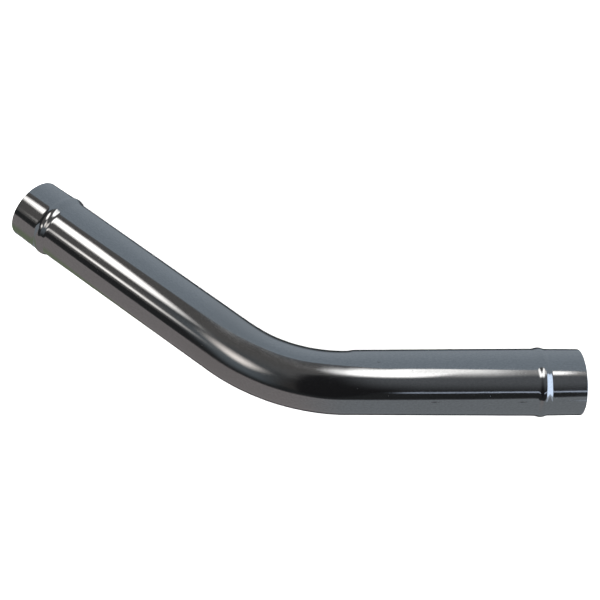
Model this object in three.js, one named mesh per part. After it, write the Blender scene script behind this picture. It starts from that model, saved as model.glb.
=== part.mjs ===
// Flue elbow: a long-legged 35 degree bend in thin stainless tube, with a socket at one end and a spigot
// at the other. A bead is rolled outwards behind each end. The spigot's bead is the stop that sets how far
// it goes into the next socket. The socket's bead is a groove inside, and a sealing ring sits in it.
//
// The tube is made here as it is in the workshop: a straight tube is turned with its ends and beads, and
// then it is bent. Lengths are in millimetres and angles in degrees.
// Frame: the elbow lies flat, its two axes level, with +Z up. The spigot leg points along +X.

import * as THREE from "three";

// Tube
const OUTSIDE_DIAMETER = 60;
const WALL = 0.8;
const FACETS = 48; // round the tube

// Bend
const BEND_ANGLE = 35;
const BEND_RADIUS = 194; // to the tube's axis
const BEND_STEPS = 14;
const INSIDE_FLATTENING = 0.9; // how far bending draws the wall in, on the inside of the bend
const OUTSIDE_FLATTENING = 0.4; // and on the outside
const FLATTENING_RUN = 25; // length of bend over which the flattening starts and ends

// Legs, from the point where the two axes cross to each mouth
const SOCKET_LEG = 299;
const SPIGOT_LEG = 269;

// Ends. Growth is on the radius, against the tube's own outside. The socket's mouth is as wide as the next
// spigot needs at its root.
const END_DEPTH = 32.5; // mouth to the middle of the bead, at both ends
const JOINT_CLEARANCE = 0.05; // on the radius, round a spigot that is pushed home
const SPIGOT = {
  mouthGrowth: -0.6,
  rootGrowth: -0.25,
  beadHeight: 0.9,
  beadWidth: 12.5,
};
const SOCKET = {
  mouthGrowth: SPIGOT.rootGrowth + WALL + JOINT_CLEARANCE,
  rootGrowth: 1.05,
  beadHeight: 1.6,
  beadWidth: 13,
};
const BEAD_STEPS = 10;

// Sealing ring in the socket's groove
const HEEL_MARGIN = 2.5; // from the back of the ring to the end of the groove
const SEAL_CLEARANCE = 0.3; // to the socket's wall and its groove
const LIP_OVERLAP = 1.5; // how far a spigot that is pushed home goes into the lip
const LIP_LEAD_IN = 0.1; // play round the spigot's tip, at the lip's edge
const LIP_LENGTH = 5; // from its edge to its narrowest place
const LIP_SQUEEZE = 1.3; // how far the narrowest place stands in from the spigot's tip

const outsideRadius = OUTSIDE_DIAMETER / 2;
const bendAngle = THREE.MathUtils.degToRad(BEND_ANGLE);
const tangentLength = BEND_RADIUS * Math.tan(bendAngle / 2);
const arcLength = BEND_RADIUS * bendAngle;
const socketStraight = SOCKET_LEG - tangentLength;
const spigotStraight = SPIGOT_LEG - tangentLength;
const tubeLength = socketStraight + arcLength + spigotStraight;

const smoothStep = (t) => THREE.MathUtils.smoothstep(t, 0, 1);
const beadStartOf = (end) => END_DEPTH - end.beadWidth / 2;

// Outside radius of an end of the tube, at a distance from its mouth: a slight cone up to the bead, the
// bead, and then the plain tube.
function endRadius(end, fromMouth) {
  const beadStart = beadStartOf(end);
  const cone = Math.min(fromMouth / beadStart, 1);
  const growth = THREE.MathUtils.lerp(end.mouthGrowth, end.rootGrowth, cone);
  const alongBead = (fromMouth - beadStart) / end.beadWidth;
  if (alongBead <= 0) return outsideRadius + growth;
  if (alongBead >= 1) return outsideRadius;
  const bead = end.beadHeight * Math.sin(Math.PI * alongBead) ** 2;
  return outsideRadius + growth * (1 - smoothStep(alongBead)) + bead;
}

// Distances from the mouth at which an end's outline has a point.
function endStations(end) {
  const beadStart = beadStartOf(end);
  const stations = [0];
  for (let i = 0; i <= BEAD_STEPS; i++) {
    stations.push(beadStart + (end.beadWidth * i) / BEAD_STEPS);
  }
  return stations;
}

// Outline points of the straight tube's outside, from the socket's mouth at 0 to the spigot's mouth.
function outsideOutline() {
  const outline = endStations(SOCKET).map(
    (s) => new THREE.Vector2(endRadius(SOCKET, s), s),
  );
  for (let i = 0; i <= BEND_STEPS; i++) {
    const s = socketStraight + (arcLength * i) / BEND_STEPS;
    outline.push(new THREE.Vector2(outsideRadius, s));
  }
  for (const s of endStations(SPIGOT).reverse()) {
    outline.push(new THREE.Vector2(endRadius(SPIGOT, s), tubeLength - s));
  }
  return outline;
}

// A closed turned shape from an outline: a lathe wants its first point again at the end.
function turned(outline) {
  return new THREE.LatheGeometry([...outline, outline[0]], FACETS);
}

// How far bending draws the wall in, at a distance along the tube. facing is 1 on the outside of the bend,
// -1 on its inside and 0 half way between.
function drawnIn(s, facing) {
  const intoBend = Math.min(s - socketStraight, socketStraight + arcLength - s);
  const share = smoothStep(intoBend / FLATTENING_RUN);
  const depth = facing > 0 ? OUTSIDE_FLATTENING : INSIDE_FLATTENING;
  return depth * share * facing;
}

// The tube's axis at a distance from the socket's mouth: a point on it, and the direction to the outside
// of the bend. The two legs' axes cross at the origin, and the spigot leg is along +X.
function axisAt(s) {
  const turnedSoFar = THREE.MathUtils.clamp((s - socketStraight) / BEND_RADIUS, 0, bendAngle);
  const heading = turnedSoFar - bendAngle;
  const along = new THREE.Vector3(Math.cos(heading), Math.sin(heading), 0);
  const outwards = new THREE.Vector3(Math.sin(heading), -Math.cos(heading), 0);
  const point = new THREE.Vector3(tangentLength, BEND_RADIUS, 0); // the centre of the bend
  point.addScaledVector(outwards, BEND_RADIUS);
  point.addScaledVector(along, Math.min(s - socketStraight, 0));
  point.addScaledVector(along, Math.max(s - socketStraight - arcLength, 0));
  return { point, outwards };
}

// Bends a straight turned shape, whose axis is +Y, along the tube's axis.
function bent(geometry) {
  const position = geometry.getAttribute("position");
  for (let i = 0; i < position.count; i++) {
    const across = position.getX(i);
    const s = position.getY(i);
    const up = position.getZ(i);
    const { point, outwards } = axisAt(s);
    const facing = across / Math.hypot(across, up);
    point.addScaledVector(outwards, across - drawnIn(s, facing));
    position.setXYZ(i, point.x, point.y, up);
  }
  geometry.computeVertexNormals();
  return geometry;
}

// The whole tube: the outside from socket to spigot, and back along the bore, one wall further in.
function tubeGeometry() {
  const outside = outsideOutline();
  const bore = outside.map((p) => new THREE.Vector2(p.x - WALL, p.y)).reverse();
  return bent(turned([...outside, ...bore]));
}

// The sealing ring: a heel that fills the groove, and a lip that reaches from it along the socket's wall
// towards the mouth. The lip's inside narrows like a funnel. The next spigot stops with its bead on the
// socket's mouth, and by then its tip has wedged into the lip.
function sealGeometry() {
  const front = beadStartOf(SPIGOT) - LIP_OVERLAP;
  const back = beadStartOf(SOCKET) + SOCKET.beadWidth - HEEL_MARGIN;
  const spigotTipRadius = outsideRadius + SPIGOT.mouthGrowth;
  const outline = [];
  for (let i = 0; i <= BEAD_STEPS; i++) {
    const s = THREE.MathUtils.lerp(front, back, i / BEAD_STEPS);
    outline.push(new THREE.Vector2(endRadius(SOCKET, s) - WALL - SEAL_CLEARANCE, s));
  }
  outline.push(
    new THREE.Vector2(outsideRadius - WALL, back), // flush with the tube's bore
    new THREE.Vector2(spigotTipRadius - LIP_SQUEEZE, front + LIP_LENGTH),
    new THREE.Vector2(spigotTipRadius + LIP_LEAD_IN, front),
  );
  return bent(turned(outline));
}

function named(name, geometry, material) {
  const mesh = new THREE.Mesh(geometry, material);
  mesh.name = name;
  return mesh;
}

const polishedSteel = new THREE.MeshStandardMaterial({
  color: 0x9a9da1,
  roughness: 0.18,
  metalness: 1,
});
const siliconeRubber = new THREE.MeshStandardMaterial({
  color: 0x1b1b1d,
  roughness: 0.75,
  metalness: 0,
});

const elbow = new THREE.Group();
elbow.add(
  named("elbow_tube", tubeGeometry(), polishedSteel),
  named("socket_seal", sealGeometry(), siliconeRubber),
);

// The origin goes under the middle of the elbow, on the surface that it lies on.
const extent = new THREE.Box3().setFromObject(elbow);
const middle = extent.getCenter(new THREE.Vector3());
elbow.position.set(-middle.x, -middle.y, -extent.min.z);

export default elbow;
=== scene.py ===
# %% [markdown]
# # A flue elbow in bright steel tube
#
# A flue elbow carries the exhaust of a small boiler round a corner. This one is a single thin steel tube,
# bent once by about a third of a right angle, with two long legs. One end is opened out into a socket, the
# other is drawn in to a spigot, and a wide shallow bead is rolled into the tube behind each mouth. Inside the
# socket's bead sits a rubber sealing ring. There is nothing else: no clamp, no weld ring and no moving part.
#
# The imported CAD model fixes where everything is. This script loads it and builds finer versions of both
# pieces around it, so the first thing to keep is the box that the CAD model fills.

# %% Load the fixed frame
import math

import bmesh
import bpy
from mathutils import Matrix, Vector, noise


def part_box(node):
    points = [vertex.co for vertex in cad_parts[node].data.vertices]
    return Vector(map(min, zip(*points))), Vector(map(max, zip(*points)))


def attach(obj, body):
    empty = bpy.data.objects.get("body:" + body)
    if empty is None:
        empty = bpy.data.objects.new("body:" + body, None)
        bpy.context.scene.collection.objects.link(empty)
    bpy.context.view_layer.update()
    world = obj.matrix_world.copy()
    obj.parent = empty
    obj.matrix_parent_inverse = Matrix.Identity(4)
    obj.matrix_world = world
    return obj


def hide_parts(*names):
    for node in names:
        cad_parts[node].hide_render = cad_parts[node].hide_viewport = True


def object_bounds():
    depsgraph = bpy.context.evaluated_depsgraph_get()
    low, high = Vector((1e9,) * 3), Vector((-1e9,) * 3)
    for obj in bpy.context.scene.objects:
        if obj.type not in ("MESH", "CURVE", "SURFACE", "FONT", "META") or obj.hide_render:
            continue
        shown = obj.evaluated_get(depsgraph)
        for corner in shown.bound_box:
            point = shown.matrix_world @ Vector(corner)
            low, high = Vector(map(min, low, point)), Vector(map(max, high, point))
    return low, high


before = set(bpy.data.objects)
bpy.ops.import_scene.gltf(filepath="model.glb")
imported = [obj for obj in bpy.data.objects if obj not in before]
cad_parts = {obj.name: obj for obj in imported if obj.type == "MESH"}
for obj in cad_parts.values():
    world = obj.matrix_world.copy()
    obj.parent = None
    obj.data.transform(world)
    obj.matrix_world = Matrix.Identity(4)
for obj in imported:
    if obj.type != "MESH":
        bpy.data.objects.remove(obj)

cad_low, cad_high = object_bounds()
cad_size = (cad_high - cad_low) * 1000
print(f"CAD model: {cad_size.x:.1f} x {cad_size.y:.1f} x {cad_size.z:.1f} mm, nodes {sorted(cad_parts)}")

# %% [markdown]
# ## The tube's sizes
#
# A part like this is drawn with very few numbers. The tube and its bend come first, then what each end does
# to the tube's radius. They are the CAD model's sizes, in metres here, except at the spigot's bead: that one
# is 2 mm further from its mouth and stands 0.35 mm higher. A working model can leave out the finer things
# that are added here: small roundings on the cut edges, a soft shoulder and a step on the inside of the bend,
# and the faint unevenness of a wall less than a millimetre thick.

# %% Sizes of the tube
MM = 0.001

RADIUS = 30 * MM
WALL = 0.8 * MM
BEND_ANGLE = math.radians(35)
BEND_RADIUS = 194 * MM
SOCKET_LEG = 299 * MM  # from the point where the two axes cross to the mouth
SPIGOT_LEG = 269 * MM

SPIGOT = {
    "depth": 34.5 * MM,  # mouth to the middle of the bead
    "width": 12.5 * MM,  # of the bead
    "mouth": -0.6 * MM,  # these three are growth on the radius
    "root": -0.25 * MM,
    "bead": 1.25 * MM,
}
SOCKET = {
    "depth": 32.5 * MM,
    "width": 13 * MM,
    "mouth": 0.6 * MM,
    "root": 1.05 * MM,
    "bead": 1.6 * MM,
}

TANGENT = BEND_RADIUS * math.tan(BEND_ANGLE / 2)
ARC = BEND_RADIUS * BEND_ANGLE
SOCKET_STRAIGHT = SOCKET_LEG - TANGENT
LENGTH = SOCKET_STRAIGHT + ARC + SPIGOT_LEG - TANGENT
BEND_END = SOCKET_STRAIGHT + ARC
print(f"the straight tube is {LENGTH / MM:.0f} mm long, and {ARC / MM:.0f} mm of it goes into the bend")

# %% [markdown]
# ## Drawing the outline
#
# In the workshop the ends are formed on the straight tube, and the tube is bent afterwards. Following the
# same order keeps the modelling simple. While the tube is straight its whole shape is one outline turned
# about an axis, so all that is needed is a radius for each distance along it.
#
# The bead is a sine squared hump. It leaves the tube and comes back to it without a corner, as metal that
# was rolled over a soft-edged wheel does.


# %% Radius of the outside at each place
def smooth_step(t):
    t = min(max(t, 0.0), 1.0)
    return t * t * (3 - 2 * t)


def bead_start(end):
    return end["depth"] - end["width"] / 2


def end_radius(end, from_mouth):
    start = bead_start(end)
    growth = end["mouth"] + (end["root"] - end["mouth"]) * min(from_mouth / start, 1)
    t = (from_mouth - start) / end["width"]
    if t <= 0:
        return RADIUS + growth
    if t >= 1:
        return RADIUS
    return RADIUS + growth * (1 - smooth_step(t)) + end["bead"] * math.sin(math.pi * t) ** 2


def outside_radius(s):
    """s is the distance along the straight tube, from the socket's mouth."""
    if s < LENGTH / 2:
        return end_radius(SOCKET, s)
    return end_radius(SPIGOT, LENGTH - s)


LANDMARKS = {
    "socket mouth": 0,
    "socket bead": SOCKET["depth"],
    "tube": LENGTH / 2,
    "spigot bead": LENGTH - SPIGOT["depth"],
    "spigot mouth": LENGTH,
}
for name, s in LANDMARKS.items():
    print(f"{name}: {2 * outside_radius(s) / MM:.1f} mm across")

# %% [markdown]
# Stations are the places along the tube that get a ring of points. Rings cost memory, so they are close
# together only where the shape turns quickly: across the beads and through the bend. Next to each mouth sits
# one extra ring. It stops the smooth shading of the small rounded edge from spreading down the leg.


# %% Stations along the tube
EDGE_ROUNDING = 0.25 * MM
GUARD = 0.5 * MM  # the extra ring, from the mouth
BEAD_CLEARANCE = 2 * MM  # from a bead to the first ring of the leg
STEP_STRETCH = 12 * MM  # past the bend, where its inside springs back

# Rings in each stretch
CONE_RINGS = 16
BEAD_RINGS = 44
SOCKET_LEG_RINGS = 60
BEND_RINGS = 72
STEP_RINGS = 12
SPIGOT_LEG_RINGS = 48


def spread(low, high, count):
    """count places from low up to, and not including, high."""
    return [low + (high - low) * i / count for i in range(count)]


def end_stations(end):
    start = bead_start(end)
    return [
        EDGE_ROUNDING,
        *spread(GUARD, start, CONE_RINGS),
        *spread(start, start + end["width"], BEAD_RINGS),
        start + end["width"],
    ]


socket_side = end_stations(SOCKET)
spigot_side = [LENGTH - s for s in reversed(end_stations(SPIGOT))]
stations = [
    *socket_side,
    *spread(socket_side[-1] + BEAD_CLEARANCE, SOCKET_STRAIGHT, SOCKET_LEG_RINGS),
    *spread(SOCKET_STRAIGHT, BEND_END, BEND_RINGS),
    *spread(BEND_END, BEND_END + STEP_STRETCH, STEP_RINGS),
    *spread(BEND_END + STEP_STRETCH, spigot_side[0] - BEAD_CLEARANCE, SPIGOT_LEG_RINGS),
    *spigot_side,
]
print(f"{len(stations)} stations along the tube")

# %% [markdown]
# The wall has an outside, a bore and two cut edges. Going out along the outside, round one edge, back along
# the bore and round the other edge makes one closed outline. Turning a closed outline always gives a
# watertight solid, so no separate thickness step is needed.
#
# Every point of the outline is a radius, a distance along, and a mark from 0 on the outside to 1 in the bore.
# The steel uses that mark later: the bore gets a rougher finish, and a darker colour that is painted shade.


# %% Closed outline of the wall
EDGE_STEPS = 4


def rounded_edge(mouth, radius, direction):
    """Points round a cut edge, from outside to bore. direction is +1 at the spigot, -1 at the socket."""
    points = []
    corners = ((radius - EDGE_ROUNDING, 0), (radius - WALL + EDGE_ROUNDING, 90))
    for centre, start_angle in corners:
        for i in range(EDGE_STEPS + 1):
            angle = math.radians(start_angle + 90 * i / EDGE_STEPS)
            r = centre + EDGE_ROUNDING * math.cos(angle)
            s = mouth - direction * EDGE_ROUNDING * (1 - math.sin(angle))
            points.append((r, s, start_angle / 90))
    return points


outside = [(outside_radius(s), s, 0.0) for s in stations]
bore = [(outside_radius(s) - WALL, s, 1.0) for s in reversed(stations)]
spigot_edge = rounded_edge(LENGTH, outside_radius(LENGTH), 1)
socket_edge = list(reversed(rounded_edge(0, outside_radius(0), -1)))
wall_outline = [*outside, *spigot_edge[1:-1], *bore, *socket_edge[1:-1]]
print(f"{len(wall_outline)} points in the closed outline")

# %% [markdown]
# ## Bending it
#
# A point of the straight tube has a distance along it and a place across it. Bending keeps the place across,
# and moves the distance along onto a line that runs straight, follows an arc, and runs straight again.
#
# Real bending leaves traces. The wall is drawn in a little on the inside of the bend and less on its outside.
# The flattened inside pushes out a soft shoulder above and below itself, and it ends in a small step where
# the bending tool ended. Thin sheet never stays perfectly true, so a very low, slow noise moves the wall in
# and out by a few hundredths of a millimetre. It can't be seen as shape. It shows in the reflections, whose
# edges would otherwise be ruler straight.

# %% Bend and unevenness
DRAWN_IN_INSIDE = 0.9 * MM
DRAWN_IN_OUTSIDE = 0.4 * MM
DRAWN_IN_RUN = 45 * MM
INSIDE_STEP = BEND_END + 9 * MM  # the inside springs back here, over a short run
INSIDE_STEP_RUN = 7 * MM
STEP_NARROWNESS = 8  # the step stays near the innermost line of the bend
SHOULDER_HEIGHT = 1.96 * MM
SHOULDER_MIDDLE = 49  # degrees from the inside of the bend
SHOULDER_WIDTH = 22
SHOULDER_START = 214 * MM
SHOULDER_END = 399 * MM
SHOULDER_RUN = 70 * MM
UNEVEN_HEIGHT = 0.035 * MM
UNEVEN_LENGTH = 60 * MM
UNEVEN_ACROSS = 26 * MM


def tube_line(s):
    """Point on the tube's axis, and the direction to the bend's outside. The axes cross at the origin."""
    turned = min(max((s - SOCKET_STRAIGHT) / BEND_RADIUS, 0), BEND_ANGLE)
    heading = turned - BEND_ANGLE
    along = Vector((math.cos(heading), math.sin(heading), 0))
    outwards = Vector((math.sin(heading), -math.cos(heading), 0))
    point = Vector((TANGENT, BEND_RADIUS, 0)) + outwards * BEND_RADIUS
    point += along * min(s - SOCKET_STRAIGHT, 0) + along * max(s - BEND_END, 0)
    return point, outwards


def drawn_in(s, facing):
    """How far bending draws the wall in. facing is 1 on the outside of the bend and -1 on its inside."""
    run_in = smooth_step((s - SOCKET_STRAIGHT) / DRAWN_IN_RUN)
    if facing > 0:
        return DRAWN_IN_OUTSIDE * run_in * smooth_step((BEND_END - s) / DRAWN_IN_RUN) * facing
    gentle = smooth_step((BEND_END - s) / DRAWN_IN_RUN)
    stepped = smooth_step((INSIDE_STEP - s) / INSIDE_STEP_RUN)
    return DRAWN_IN_INSIDE * run_in * (gentle + (stepped - gentle) * facing**STEP_NARROWNESS) * facing


def shoulder(s, facing):
    """How far the flattened inside of the bend pushes the wall out beside itself."""
    from_inside = math.degrees(math.acos(max(-1.0, min(1.0, -facing))))
    hump = math.exp(-(((from_inside - SHOULDER_MIDDLE) / SHOULDER_WIDTH) ** 2))
    run_in = smooth_step((s - SHOULDER_START) / SHOULDER_RUN)
    run_out = smooth_step((SHOULDER_END - s) / SHOULDER_RUN)
    return SHOULDER_HEIGHT * hump * run_in * run_out


def unevenness(across, up, s):
    from_ends = min(s, LENGTH - s) - SPIGOT["depth"] - SPIGOT["width"]
    where = Vector((across / UNEVEN_ACROSS, up / UNEVEN_ACROSS, s / UNEVEN_LENGTH))
    return UNEVEN_HEIGHT * noise.noise(where) * smooth_step(from_ends / UNEVEN_LENGTH)


def bent_point(radius, angle, s):
    across, up = math.sin(angle), math.cos(angle)
    radius += unevenness(across * RADIUS, up * RADIUS, s) + shoulder(s, across)
    middle, outwards = tube_line(s)
    point = middle + outwards * (across * radius - drawn_in(s, across))
    point.z = up * radius
    return point


turn = math.degrees(math.acos(tube_line(0)[1].dot(tube_line(LENGTH)[1])))
print(f"the legs meet at {180 - turn:.0f} degrees, so the flow turns by {turn:.0f}")

# %% [markdown]
# ## From outline to mesh
#
# Blender has a Spin tool and a Screw modifier that turn an outline, and a Curve modifier that bends the
# result. Written out in mesh code it is only two loops, and it gives one thing that those tools don't: each
# point can remember where it was on the straight tube. That memory is saved on the mesh as an attribute. The
# materials read it, so a drawn line follows the tube round the bend and has no seam.


# %% Turned and bent pieces
def finished_piece(name, shape):
    """Turns a bmesh into an object in the scene."""
    mesh = bpy.data.meshes.new(name)
    shape.to_mesh(mesh)
    shape.free()
    piece = bpy.data.objects.new(name, mesh)
    bpy.context.scene.collection.objects.link(piece)
    return piece


def turned_piece(name, outline, segments):
    """Turns a closed outline of (radius, s, bore mark) points and bends it. Returns the object."""
    shape = bmesh.new()
    straight = shape.verts.layers.float_vector.new("before_bending")
    in_bore = shape.verts.layers.float.new("in_bore")
    rings = []
    for radius, s, mark in outline:
        ring = []
        for k in range(segments):
            angle = 2 * math.pi * k / segments
            vertex = shape.verts.new(bent_point(radius, angle, s))
            vertex[straight] = (radius * math.sin(angle), radius * math.cos(angle), s)
            vertex[in_bore] = mark
            ring.append(vertex)
        rings.append(ring)
    for here, there in zip(rings, [*rings[1:], rings[0]]):
        for k in range(segments):
            after = (k + 1) % segments
            face = shape.faces.new((here[k], here[after], there[after], there[k]))
            face.smooth = True
    bmesh.ops.recalc_face_normals(shape, faces=shape.faces)
    return finished_piece(name, shape)


def box_of(piece):
    corners = [piece.matrix_world @ Vector(c) for c in piece.bound_box]
    low = Vector(min(c[i] for c in corners) for i in range(3))
    high = Vector(max(c[i] for c in corners) for i in range(3))
    return low, high


TUBE_FACETS = 160
tube = turned_piece("bright_tube", wall_outline, TUBE_FACETS)
print(f"{tube.name}: {len(tube.data.vertices)} points, {len(tube.data.polygons)} faces")

# %% [markdown]
# The new tube was built round the point where its axes cross. The frame has its origin under the middle of
# the elbow, so the middles of the two boxes are brought together. Nothing is scaled.

# %% Put the tube where the frame says
tube_low, tube_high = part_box("elbow_tube")
own_low, own_high = box_of(tube)
to_frame = (tube_low + tube_high) / 2 - (own_low + own_high) / 2
tube.data.transform(Matrix.Translation(to_frame))
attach(tube, "root")
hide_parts("elbow_tube")
difference = ((own_high - own_low) - (tube_high - tube_low)) / MM
print(f"moved by {[round(v / MM, 2) for v in to_frame]} mm")
print(f"larger than the CAD tube by {[round(v, 3) for v in difference]} mm")

# %% [markdown]
# ## The sealing ring
#
# The groove inside the socket's bead holds a ring of black silicone rubber. Its heel fills the groove, and a
# soft lip reaches from the heel towards the mouth. The lip's inside narrows like a funnel, so the next
# spigot's tip slides in, wedges and seals.
#
# It is turned from an outline too. The heel follows the groove, and the corners that would be sharp on paper
# are rounded as a mould would round them, by cutting each corner back a little, twice over.

# %% Outline of the ring
SEAL_CLEARANCE = 0.3 * MM
LIP_OVERLAP = 1.5 * MM
LIP_LEAD_IN = 0.1 * MM
LIP_LENGTH = 5 * MM
LIP_SQUEEZE = 1.3 * MM
LIP_THROAT = 1.6 * MM  # length of the lip's narrowest place
HEEL_MARGIN = 2.5 * MM
HEEL_STEP = 1.2 * MM  # the heel stays level with the bore for this far
NEXT_SPIGOT_REACH = 26.25 * MM  # how far the next pipe's spigot comes in, as in the CAD model
GROOVE_POINTS = 14
CORNER_CUT = 0.25  # share of each side
RING_FACETS = 128

lip_edge = NEXT_SPIGOT_REACH - LIP_OVERLAP
heel_back = bead_start(SOCKET) + SOCKET["width"] - HEEL_MARGIN
spigot_tip = RADIUS + SPIGOT["mouth"]


def rounded(points, share):
    """Cuts each corner of a closed outline back by a share of its two sides."""
    cut = []
    for i, here in enumerate(points):
        before, after = points[i - 1], points[(i + 1) % len(points)]
        for other in (before, after):
            cut.append(tuple(h + (o - h) * share for h, o in zip(here, other)))
    return cut


groove_side = []
for i in range(GROOVE_POINTS + 1):
    s = lip_edge + (heel_back - lip_edge) * i / GROOVE_POINTS
    groove_side.append((outside_radius(s) - WALL - SEAL_CLEARANCE, s))
lip_side = [
    (RADIUS - WALL, heel_back),
    (RADIUS - WALL, heel_back - HEEL_STEP),
    (spigot_tip - LIP_SQUEEZE, lip_edge + LIP_LENGTH + LIP_THROAT / 2),
    (spigot_tip - LIP_SQUEEZE, lip_edge + LIP_LENGTH - LIP_THROAT / 2),
    (spigot_tip + LIP_LEAD_IN, lip_edge),
]
section = rounded(rounded([*groove_side, *lip_side], CORNER_CUT), CORNER_CUT)
ring_outline = [(r, s, 0.0) for r, s in section]
seal = turned_piece("lip_seal", ring_outline, RING_FACETS)
seal.data.transform(Matrix.Translation(to_frame))
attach(seal, "root")
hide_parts("socket_seal")
print(f"{seal.name}: {len(ring_outline)} points round its section, {len(seal.data.polygons)} faces")

# %% [markdown]
# ## A small kit for materials
#
# Node materials written in code get long if every node takes four lines. These helpers add one node each,
# connect what is given as a socket and set what is given as a value. The rest of the script reads
# like the recipe that it is.


# %% Node helpers
class Recipe:
    """Adds nodes to one node tree."""

    def __init__(self, tree):
        self.tree = tree

    def node(self, kind, inputs=(), **settings):
        made = self.tree.nodes.new(kind)
        for key, value in settings.items():
            setattr(made, key, value)
        for key, value in dict(inputs).items():
            if isinstance(value, bpy.types.NodeSocket):
                self.tree.links.new(value, made.inputs[key])
            else:
                made.inputs[key].default_value = value
        return made

    def math(self, operation, a, b=0.0, c=0.0, clamp=False):
        made = self.node("ShaderNodeMath", {0: a, 1: b, 2: c}, operation=operation, use_clamp=clamp)
        return made.outputs[0]

    def scaled(self, vector, sizes):
        """vector divided by sizes, so that a pattern comes out sizes big."""
        return self.node("ShaderNodeVectorMath", {0: vector, 1: sizes}, operation="DIVIDE").outputs[0]

    def noise(self, vector, sizes, detail, roughness=0.5):
        """A cloudy pattern from 0 to 1, about sizes big."""
        where = self.scaled(vector, sizes)
        inputs = {"Vector": where, "Scale": 1.0, "Detail": detail, "Roughness": roughness}
        return self.node("ShaderNodeTexNoise", inputs).outputs["Fac"]

    def ramp(self, value, low, high, to_low=0.0, to_high=1.0):
        """Smooth change from to_low to to_high as value goes from low to high."""
        made = self.node(
            "ShaderNodeMapRange",
            {"Value": value, "From Min": low, "From Max": high, "To Min": to_low, "To Max": to_high},
            interpolation_type="SMOOTHSTEP",
        )
        return made.outputs["Result"]

    def colour(self, share, a, b):
        """From colour a to colour b. The node has sockets for other kinds too: 6, 7 and 2 are the colours."""
        made = self.node("ShaderNodeMix", {0: share, 6: a, 7: b}, data_type="RGBA", blend_type="MIX")
        return made.outputs[2]

    def bump(self, height, distance, under=None):
        """Tilts the surface as a relief of this height would, on top of the bump under it."""
        inputs = {"Height": height, "Distance": distance, "Strength": 1.0}
        if under is not None:
            inputs["Normal"] = under
        return self.node("ShaderNodeBump", inputs).outputs["Normal"]


def new_material(name):
    material = bpy.data.materials.new(name)
    material.use_nodes = True
    material.node_tree.nodes.clear()
    recipe = Recipe(material.node_tree)
    shader = recipe.node("ShaderNodeBsdfPrincipled")
    recipe.node("ShaderNodeOutputMaterial", {"Surface": shader.outputs[0]})
    return material, recipe, shader


print("node helpers ready")

# %% [markdown]
# ## Bright steel
#
# Thin flue tube is made from bright-annealed stainless sheet. It is close to a mirror, with marks of its own.
# Fine lines run along its length from rolling and drawing. They blur a reflection across the tube and leave
# it sharp along the tube. The bend is a little duller and grainier where the tools rubbed it. Hands and
# packing leave faint cloudy smears, and a few scratches.
#
# A mirror hides flat colour, so these marks have to act on what makes a reflection: how rough the surface is,
# and which way it faces. All patterns read the place on the straight tube, in metres.

# %% Where on the tube
steel, mix, steel_shader = new_material("bright_stainless")
place = mix.node("ShaderNodeAttribute", attribute_name="before_bending").outputs["Vector"]
bore_mark = mix.node("ShaderNodeAttribute", attribute_name="in_bore").outputs["Fac"]
along = mix.node("ShaderNodeSeparateXYZ", {0: place}).outputs["Z"]
print(f"{steel.name}: patterns follow the tube, {LENGTH / MM:.0f} mm of it")

# %% Lines from rolling and drawing
fine_lines = mix.noise(place, (0.30 * MM, 0.30 * MM, 30 * MM), detail=3, roughness=0.6)
wide_lines = mix.noise(place, (1.6 * MM, 1.6 * MM, 120 * MM), detail=3, roughness=0.6)
slow_waves = mix.noise(place, (14 * MM, 14 * MM, 34 * MM), detail=1)
print("lines and waves: 0.3, 1.6 and 14 mm across, 30, 120 and 34 mm long")

# %% The stretch that the bending tools rubbed
RUBBED_START = SOCKET_STRAIGHT - 30 * MM
RUBBED_END = BEND_END - 85 * MM
RUBBED_RUN = 50 * MM
RUBBED_FRAYING = 50 * MM
fraying = mix.noise(place, (5 * MM, 5 * MM, 60 * MM), detail=3)
frayed_along = mix.math("MULTIPLY_ADD", fraying, RUBBED_FRAYING, along)
rubbed_in = mix.ramp(frayed_along, RUBBED_START, RUBBED_START + RUBBED_RUN)
rubbed_out = mix.ramp(frayed_along, RUBBED_END, RUBBED_END + RUBBED_RUN, 1, 0)
rubbed = mix.math("MULTIPLY", rubbed_in, rubbed_out)
grain = mix.noise(place, (0.7 * MM, 0.7 * MM, 1.0 * MM), detail=2, roughness=0.7)
print(f"rubbed from about {RUBBED_START / MM:.0f} to {RUBBED_END / MM:.0f} mm along the tube")

# %% Smears, specks and scratches
smears = mix.ramp(mix.noise(place, (18 * MM, 18 * MM, 30 * MM), detail=4, roughness=0.6), 0.46, 0.75)
mottle = mix.noise(place, (1.1 * MM, 1.1 * MM, 2.2 * MM), detail=3, roughness=0.65)
specks = mix.ramp(mix.noise(place, (1.3 * MM, 1.3 * MM, 2.4 * MM), detail=1), 0.80, 0.84)

SCRATCHES = (
    # along, degrees from the top towards the outside of the bend, half length, half width
    (436 * MM, 33.5, 3.4 * MM, 0.55 * MM),
    (511 * MM, 33.0, 4.2 * MM, 0.50 * MM),
    (388 * MM, -38.0, 2.4 * MM, 0.40 * MM),
)
scratched = specks
for s, degrees, half_length, half_width in SCRATCHES:
    angle = math.radians(degrees)
    middle = (RADIUS * math.sin(angle), RADIUS * math.cos(angle), s)
    offset = mix.node("ShaderNodeVectorMath", {0: place, 1: middle}, operation="SUBTRACT").outputs[0]
    wobble = mix.scaled(offset, (half_width, half_width, half_length))
    reach = mix.node("ShaderNodeVectorMath", {0: wobble}, operation="LENGTH").outputs["Value"]
    torn = mix.math("MULTIPLY_ADD", mottle, 1.6, reach)
    scratched = mix.math("MAXIMUM", scratched, mix.ramp(torn, 1.3, 1.9, 1, 0))
print(f"{len(SCRATCHES)} scratches")

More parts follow.
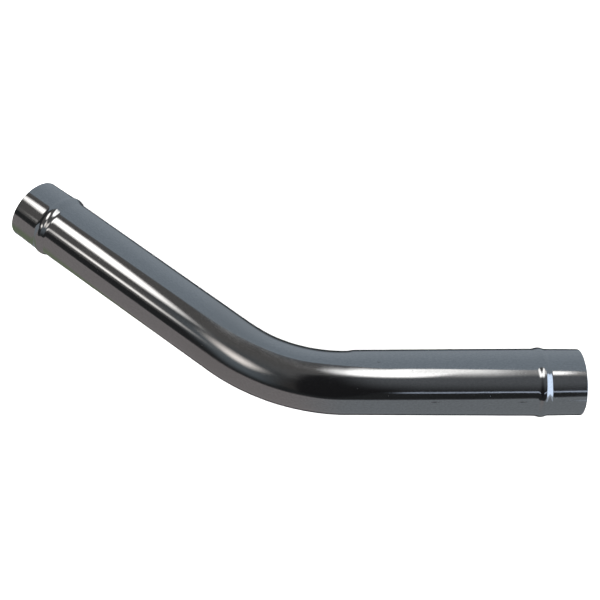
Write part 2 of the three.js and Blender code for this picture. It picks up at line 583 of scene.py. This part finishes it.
# %% Cut edges
EDGE_BARE = 0.3 * MM  # from the mouth
EDGE_FADED = 0.7 * MM
edge_low = mix.ramp(along, EDGE_BARE, EDGE_FADED, 1, 0)
edge_high = mix.ramp(along, LENGTH - EDGE_FADED, LENGTH - EDGE_BARE)
cut_edge = mix.math("MAXIMUM", edge_low, edge_high)
print(f"cut edges are bare for {EDGE_BARE / MM:.1f} mm")

# %% [markdown]
# The roughness adds up from a mirror-like base. The bump goes in layers, each with the height that such a
# mark really has, from slow waves of a few hundredths of a millimetre down to lines of a few thousandths.

# %% Put the steel together
MIRROR_ROUGHNESS = 0.055
ROUGHENED_BY = ((mottle, 0.05), (smears, 0.03), (rubbed, 0.035), (scratched, 0.25), (cut_edge, 0.15))
BORE_ROUGHENING = 0.22
roughness = MIRROR_ROUGHNESS
for mark, amount in ROUGHENED_BY:
    roughness = mix.math("MULTIPLY_ADD", mark, amount, roughness)
roughness = mix.math("MULTIPLY_ADD", bore_mark, BORE_ROUGHENING, roughness, clamp=True)

grain_height = mix.math("MULTIPLY", grain, mix.math("MULTIPLY_ADD", rubbed, 0.75, 0.25))
RELIEF = (
    (slow_waves, 0.03 * MM),
    (wide_lines, 0.010 * MM),
    (fine_lines, 0.008 * MM),
    (grain_height, 0.014 * MM),
    (scratched, -0.04 * MM),
)
relief = None
for mark, height in RELIEF:
    relief = mix.bump(mark, height, under=relief)

STEEL_DARK = (0.565, 0.570, 0.577, 1)
STEEL_LIGHT = (0.635, 0.64, 0.647, 1)
STEEL_RUBBED = (0.55, 0.545, 0.54, 1)
STEEL_SCRATCHED = (0.25, 0.25, 0.26, 1)
# painted shade: the bore's colour is darker than the outside's, standing in for the shade inside the tube
STEEL_BORE_PAINTED_SHADE = (0.42, 0.41, 0.40, 1)
steel_colour = mix.colour(mix.ramp(mottle, 0.3, 0.7), STEEL_DARK, STEEL_LIGHT)
steel_colour = mix.colour(mix.math("MULTIPLY", rubbed, 0.5), steel_colour, STEEL_RUBBED)
steel_colour = mix.colour(scratched, steel_colour, STEEL_SCRATCHED)
# the bore gets its darker colour here, which is painted shade
steel_colour = mix.colour(bore_mark, steel_colour, STEEL_BORE_PAINTED_SHADE)
for key, value in (("Base Color", steel_colour), ("Roughness", roughness), ("Normal", relief)):
    steel.node_tree.links.new(value, steel_shader.inputs[key])
steel_shader.inputs["Metallic"].default_value = 1.0
tube.data.materials.append(steel)
print(f"{steel.name}: {len(steel.node_tree.nodes)} nodes")

# %% [markdown]
# ## Silicone rubber
#
# Moulded silicone is a soft black that is never quite black. It picks up dust, keeps the fine texture of its
# mould, and has a low, broad shine.

# %% Rubber for the ring
rubber, mix, rubber_shader = new_material("black_silicone")
place = mix.node("ShaderNodeAttribute", attribute_name="before_bending").outputs["Vector"]
dust = mix.ramp(mix.noise(place, (4 * MM, 4 * MM, 3 * MM), detail=4), 0.5, 0.8)
mould_texture = mix.noise(place, (0.3 * MM, 0.3 * MM, 0.3 * MM), detail=2)
RUBBER_BLACK = (0.018, 0.018, 0.02, 1)
RUBBER_DUSTY = (0.06, 0.058, 0.055, 1)
rubber_colour = mix.colour(dust, RUBBER_BLACK, RUBBER_DUSTY)
rubber_rough = mix.math("MULTIPLY_ADD", dust, 0.25, 0.5)
for key, value in (
    ("Base Color", rubber_colour),
    ("Roughness", rubber_rough),
    ("Normal", mix.bump(mould_texture, 0.03 * MM)),
):
    rubber.node_tree.links.new(value, rubber_shader.inputs[key])
seal.data.materials.append(rubber)
print(f"{rubber.name}: {len(rubber.node_tree.nodes)} nodes")

# %% [markdown]
# ## What the steel sees
#
# A bright metal has hardly any look of its own. It shows its surroundings, so they need as much care as the
# material. The elbow lies in a small grey tent with an opening overhead. Beyond the opening is a dark room
# with a few lamps. The tent gives the long, even grey bands along both sides of the tube. The opening gives
# the dark middle with its bright streaks.
#
# The tent is everywhere, so it goes into the world. Its cloth is a little cooler to the north than to the
# south, warmest in the south-west, and a little green low in the west (+X is east and +Y is north). Far below
# the elbow it is dark, and that is what draws the thin dark line along both edges of the tube. The numbers
# below are directions in degrees.

# %% The tent
world = bpy.data.worlds.new("grey_tent")
bpy.context.scene.world = world
world.use_nodes = True
world.node_tree.nodes.clear()
mix = Recipe(world.node_tree)

TENT_NORTH = (0.225, 0.262, 0.300, 1)
TENT_LOW_NORTH = (0.285, 0.325, 0.365, 1)
TENT_SOUTH = (0.192, 0.208, 0.222, 1)
TENT_SOUTH_WEST = (0.222, 0.205, 0.205, 1)
TENT_WEST = (0.16, 0.19, 0.13, 1)
UNDERNEATH = (0.045, 0.047, 0.05, 1)

direction = mix.node("ShaderNodeTexCoord").outputs["Generated"]
toward = mix.node("ShaderNodeSeparateXYZ", {0: direction}).outputs
from_up = mix.math("DEGREES", mix.math("ARCCOSINE", toward["Z"]))
bearing = mix.math("DEGREES", mix.math("ARCTAN2", toward["Y"], toward["X"]))
northward = mix.math("DEGREES", mix.math("ARCSINE", toward["Y"]))

tent = mix.colour(mix.ramp(northward, -45, 60), TENT_SOUTH, TENT_NORTH)
low_north = mix.math("MULTIPLY", mix.ramp(northward, 0, 40), mix.ramp(from_up, 60, 125))
tent = mix.colour(low_north, tent, TENT_LOW_NORTH)
southern = mix.ramp(northward, -2, -14)
south_west = mix.math("MULTIPLY", southern, mix.ramp(bearing, -112, -88, 1, 0))
tent = mix.colour(south_west, tent, TENT_SOUTH_WEST)
west = mix.math("MULTIPLY", southern, mix.ramp(bearing, -157, -150, 1, 0))
low_west = mix.math("MULTIPLY", west, mix.ramp(from_up, 88, 110))
tent = mix.colour(low_west, tent, TENT_WEST)
tent = mix.colour(mix.ramp(from_up, 137, 153), tent, UNDERNEATH)
background = mix.node("ShaderNodeBackground", {"Color": tent, "Strength": 1.0})
mix.node("ShaderNodeOutputWorld", {"Surface": background.outputs[0]})
world.cycles_visibility.diffuse = False
print(f"{world.name}: {len(world.node_tree.nodes)} nodes")

# %% [markdown]
# The lamps are near enough for the two legs to see them from different sides, so they can't go into the
# world, which is infinitely far away. They are drawn on a level sheet over the elbow instead. Only
# reflections can see the sheet. It is clear outside the opening, where the tent shows.
#
# All places on the sheet are in metres from the point over the axes' crossing. A patch is an oval whose
# corners can be filled out. Its softness is a share of its size.

# %% The sheet and its patches
SHEET_HEIGHT = 0.488  # above the tube's axis
SHEET_HALF = 1.6


def level_sheet(name, half):
    shape = bmesh.new()
    corners = ((-half, -half), (half, -half), (half, half), (-half, half))
    shape.faces.new([shape.verts.new((x, y, 0)) for x, y in corners])
    return finished_piece(name, shape)


sheet = level_sheet("tent_opening", SHEET_HALF)
sheet.location = to_frame + Vector((0, 0, SHEET_HEIGHT))
for kind in ("camera", "diffuse", "transmission", "volume_scatter", "shadow"):
    setattr(sheet, f"visible_{kind}", False)

overhead = bpy.data.materials.new("view_through_opening")
overhead.use_nodes = True
overhead.node_tree.nodes.clear()
mix = Recipe(overhead.node_tree)
sheet_place = mix.node("ShaderNodeTexCoord").outputs["Object"]
on_sheet = mix.node("ShaderNodeSeparateXYZ", {0: sheet_place}).outputs
east, north = on_sheet["X"], on_sheet["Y"]


def patch(middle, half_size, soft, turned, fullness):
    """1 inside an oval on the sheet and 0 outside it. turned is in degrees, anticlockwise."""
    c, s = math.cos(math.radians(turned)), math.sin(math.radians(turned))
    de = mix.math("SUBTRACT", east, middle[0])
    dn = mix.math("SUBTRACT", north, middle[1])

    def share_of(half, east_part, north_part):
        a = mix.math("MULTIPLY", de, east_part / half)
        b = mix.math("MULTIPLY", dn, north_part / half)
        share = mix.math("ABSOLUTE", mix.math("ADD", a, b))
        return mix.math("POWER", share, fullness)

    both = mix.math("ADD", share_of(half_size[0], c, s), share_of(half_size[1], -s, c))
    out = mix.math("POWER", both, 1 / fullness)
    return mix.ramp(out, 1 - soft, 1 + soft, 1, 0)


print(f"sheet {SHEET_HEIGHT} m over the tube's axis")

# %% [markdown]
# The opening isn't one neat oval. A second patch widens it in the north-west. In the east is a gap to bright
# daylight with a dim glow beside it, and the right face of the spigot's bead shows that gap. The lamps are
# painted in order, so a later one covers an earlier one. The steel reflects about six tenths of the light,
# so a lamp has to be about 1.7 to come out white.

# %% The room beyond the opening, and its lamps
# Each patch is its middle, half size, softness, turn and fullness. The opening and the first eleven lamps
# were fitted by a separate program and then partly adjusted by hand. The other patches were placed one by
# one.
OPENING = ((-0.179, -0.094), (0.781, 0.709), 0.03, -24, 3.0)
EAST_GAP = ((0.78, -0.14), (0.29, 0.46), 0.12, 0, 3)
EAST_GAP_LIGHT = (1.05, 1.25, 1.55, 1)
EAST_GLOW = ((0.85, -0.45), (0.30, 0.80), 0.12, 0, 3)
EAST_GLOW_LIGHT = (0.40, 0.45, 0.52, 1)
WEST_PART = ((-0.545, 0.375), (0.6, 0.45), 0.04, -37, 6)
ROOM = (0.022, 0.023, 0.024, 1)
LAMPS = (
    # a patch, and its colour
    ((-0.309, 0.332), (0.460, 0.483), 0.04, 25, 2.3, (0.099, 0.096, 0.094)),  # dim west side
    ((-0.144, -0.140), (0.116, 0.330), 0.32, 11, 3.2, (0.038, 0.036, 0.035)),  # its lower part
    ((-0.259, -0.169), (0.093, 0.242), 0.97, -22, 3.8, (0.124, 0.144, 0.16)),  # blue haze
    ((0.013, -0.249), (0.103, 0.371), 0.02, -14, 8.0, (0.013, 0.013, 0.014)),  # dark post
    ((0.294, 1.311), (0.238, 1.454), 0.12, -1, 4.9, (0.105, 0.111, 0.119)),  # dim east side
    ((0.148, 0.344), (0.078, 0.185), 0.24, -15, 3.6, (2.100, 2.080, 2.040)),  # east window
    ((0.231, 0.407), (0.091, 0.154), 0.96, -10, 2.7, (1.363, 1.349, 1.322)),  # its pale edge
    ((-0.294, 0.350), (0.094, 0.215), 0.36, 33, 1.8, (2.040, 1.980, 1.920)),  # west window
    ((-0.463, 0.026), (0.118, 0.037), 0.96, -42, 2.8, (1.784, 1.715, 1.646)),  # strip under it
    ((-0.168, -0.037), (0.086, 0.041), 0.97, -106, 1.6, (1.430, 1.335, 1.254)),  # lamp over the bend
    ((0.368, -0.289), (0.243, 0.023), 0.07, 12, 8.5, (0.437, 0.496, 0.605)),  # blue strip
    ((0.430, 0.330), (0.100, 0.110), 0.60, -10, 3.0, (0.310, 0.305, 0.300)),  # faint pane far east
    ((0.400, 0.310), (0.015, 0.070), 0.60, -10, 2.5, (2.600, 2.550, 2.500)),  # and the bright gap beside it
)
view = ROOM
for middle, half_size, soft, turned, fullness, colour in LAMPS:
    view = mix.colour(patch(middle, half_size, soft, turned, fullness), view, (*colour, 1))
east_glow = patch(*EAST_GLOW)
view = mix.colour(east_glow, view, EAST_GLOW_LIGHT)
east_gap = patch(*EAST_GAP)
view = mix.colour(east_gap, view, EAST_GAP_LIGHT)
open_part = mix.math("MAXIMUM", patch(*OPENING), patch(*WEST_PART))
open_part = mix.math("MAXIMUM", open_part, mix.math("MAXIMUM", east_glow, east_gap))
glow = mix.node("ShaderNodeEmission", {"Color": view, "Strength": 1.0})
clear = mix.node("ShaderNodeBsdfTransparent")
surface = mix.node("ShaderNodeMixShader", {0: open_part, 1: clear.outputs[0], 2: glow.outputs[0]})
mix.node("ShaderNodeOutputMaterial", {"Surface": surface.outputs[0]})
sheet.data.materials.append(overhead)
print(f"{len(LAMPS)} patches of light on the sheet, {len(overhead.node_tree.nodes)} nodes")

# %% [markdown]
# ## Floor, soft light and camera
#
# The elbow lies on a plain pale floor that sweeps up into a wall all round, so there is a quiet background
# from every side. One outline turned about the middle makes it. The steel doesn't see the floor or the
# overhead lights: they are kept out of its reflections, and the tent stands there instead.


# %% Floor that sweeps up into a wall
def sweep_floor(radius, height, corner, segments=96, corner_steps=12):
    shape = bmesh.new()
    profile = [(0.3 * radius, 0), (0.6 * radius, 0)]
    for i in range(corner_steps + 1):
        angle = math.radians(90 * i / corner_steps)
        profile.append((radius - corner + corner * math.sin(angle), corner * (1 - math.cos(angle))))
    profile.append((radius, height))
    centre = shape.verts.new((0, 0, 0))
    rings = []
    for r, z in profile:
        turns = (2 * math.pi * k / segments for k in range(segments))
        rings.append([shape.verts.new((r * math.cos(a), r * math.sin(a), z)) for a in turns])
    for k in range(segments):
        shape.faces.new((centre, rings[0][k], rings[0][(k + 1) % segments]))
    for here, there in zip(rings, rings[1:]):
        for k in range(segments):
            after = (k + 1) % segments
            shape.faces.new((here[k], there[k], there[after], here[after]))
    for face in shape.faces:
        face.smooth = True
    return finished_piece("studio_floor", shape)


floor = sweep_floor(radius=3.2, height=4.0, corner=1.2)
floor.location.z = cad_low.z
floor.visible_glossy = False

paper, mix, paper_shader = new_material("pale_paper")
paper_place = mix.node("ShaderNodeTexCoord").outputs["Object"]
tone = mix.noise(paper_place, (0.5, 0.5, 0.5), detail=2)
PAPER_DARK = (0.86, 0.86, 0.86, 1)
PAPER_LIGHT = (0.89, 0.89, 0.89, 1)
paper_colour = mix.colour(tone, PAPER_DARK, PAPER_LIGHT)
paper.node_tree.links.new(paper_colour, paper_shader.inputs["Base Color"])
paper_shader.inputs["Roughness"].default_value = 0.9
floor.data.materials.append(paper)
print(f"{floor.name}: {len(floor.data.polygons)} faces in {paper.name}")


# %% Soft overhead light
def soft_light(name, place, size, power):
    lamp = bpy.data.lights.new(name, "AREA")
    lamp.shape = "DISK"
    lamp.size = size
    lamp.energy = power
    holder = bpy.data.objects.new(name, lamp)
    bpy.context.scene.collection.objects.link(holder)
    holder.location = place
    holder.rotation_euler = (-Vector(place)).to_track_quat("-Z", "Y").to_euler()
    holder.visible_glossy = False
    holder.visible_camera = False
    return holder


LIGHTS = (
    # name, place and size in metres, power in watts
    ("overhead", (0, 0, 2.2), 3.6, 150),
    ("left_fill", (-2.2, -1.2, 1.3), 1.8, 30),
    ("right_fill", (2.2, 1.2, 1.3), 1.8, 30),
)
for name, light_place, size, power in LIGHTS:
    soft_light(name, light_place, size, power)
print(f"{len(LIGHTS)} soft lights")

# %% [markdown]
# The camera looks down on the elbow from 0.64 m above the tube's axis, a little to the right of the middle
# and a little in front of it. At that distance perspective matters: it decides how much the two legs taper.

# %% Camera
AXIS_HEIGHT = (tube_low.z + tube_high.z) / 2
CAMERA_TO_RIGHT = 0.0866
CAMERA_TO_FRONT = 0.0598
CAMERA_ABOVE_AXIS = 0.6414
CAMERA_TILT = (4.765, 6.287, -0.289)  # degrees
FOCAL_LENGTH = 41.25  # in millimetres, like the sensor's width
SENSOR_WIDTH = 36

camera_data = bpy.data.cameras.new("camera")
camera_data.sensor_width = SENSOR_WIDTH
camera_data.lens = FOCAL_LENGTH
camera = bpy.data.objects.new("camera", camera_data)
bpy.context.scene.collection.objects.link(camera)
camera.location = (CAMERA_TO_RIGHT, -CAMERA_TO_FRONT, AXIS_HEIGHT + CAMERA_ABOVE_AXIS)
camera.rotation_euler = [math.radians(angle) for angle in CAMERA_TILT]
bpy.context.scene.camera = camera
bpy.context.scene.view_settings.view_transform = "Standard"
print(f"camera at {[round(v, 3) for v in camera.location]}")
